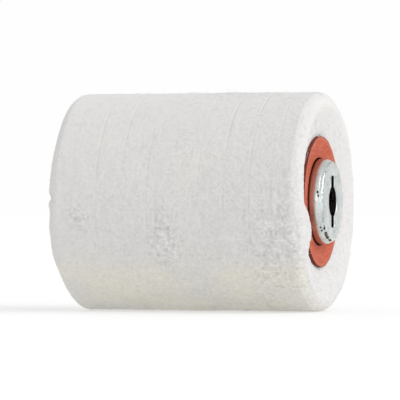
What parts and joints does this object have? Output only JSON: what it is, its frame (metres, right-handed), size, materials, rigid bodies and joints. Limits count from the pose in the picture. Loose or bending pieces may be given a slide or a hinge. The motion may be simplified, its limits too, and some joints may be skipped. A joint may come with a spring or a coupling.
{
  "type": "felt polishing roller",
  "caption": "Felt polishing roller: stacked felt discs on a steel core, held between recessed fibre washers, with a keyed steel cap at each end.",
  "frame": {"origin": "middle of the roller, on its axis", "axes": "+Y along the roller's axis towards the front cap, +Z along the key slots, +X across them"},
  "size_m": [0.1, 0.1236, 0.1],
  "materials": {
    "felt": "dense white wool felt, matt, with a short nap",
    "red_fibre": "red vulcanised fibre sheet, matt",
    "zinc_steel": "zinc-plated drawn steel, satin",
    "core_steel": "plain steel tube, dull and dark inside"
  },
  "bodies": {
    "root": {"felt_disc_01": "felt", "felt_disc_02": "felt", "felt_disc_03": "felt", "felt_disc_04": "felt", "felt_disc_05": "felt", "felt_disc_06": "felt", "felt_disc_07": "felt", "felt_disc_08": "felt", "felt_disc_09": "felt", "felt_disc_10": "felt", "core_tube": "core_steel", "fibre_washer_rear": "red_fibre", "fibre_washer_front": "red_fibre", "end_cap_rear": "zinc_steel", "end_cap_front": "zinc_steel"}
  },
  "joints": []
}
